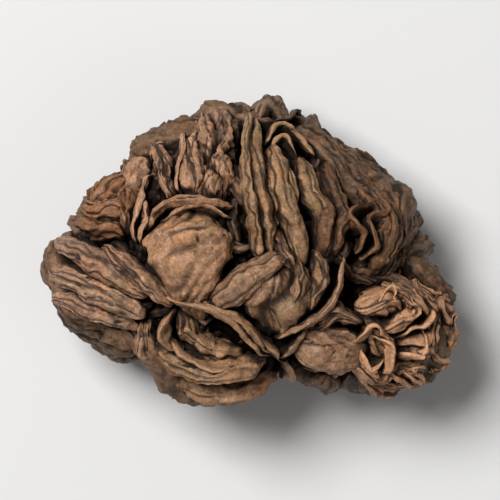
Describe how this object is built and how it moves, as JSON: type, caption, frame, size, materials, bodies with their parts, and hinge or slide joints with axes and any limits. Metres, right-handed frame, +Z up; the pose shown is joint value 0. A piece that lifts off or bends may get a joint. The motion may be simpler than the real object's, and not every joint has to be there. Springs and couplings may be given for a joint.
{
  "type": "ripe pu-erh tea nugget",
  "caption": "Nugget of ripe pu-erh tea: dark fermented leaves folded, rolled and packed into one hard uneven lump, with a small flat underneath.",
  "frame": {"origin": "middle of the nugget's footprint, on the small flat of its underside", "axes": "+X along the nugget's length, +Y along its width, +Z up through its thinnest way"},
  "size_m": [0.0242, 0.0182, 0.0135],
  "materials": {
    "dried_leaf": "dry dark brown leaf, matt with a faint waxy sheen on the ridges"
  },
  "bodies": {
    "root": {"tea_nugget": "dried_leaf"}
  },
  "joints": []
}
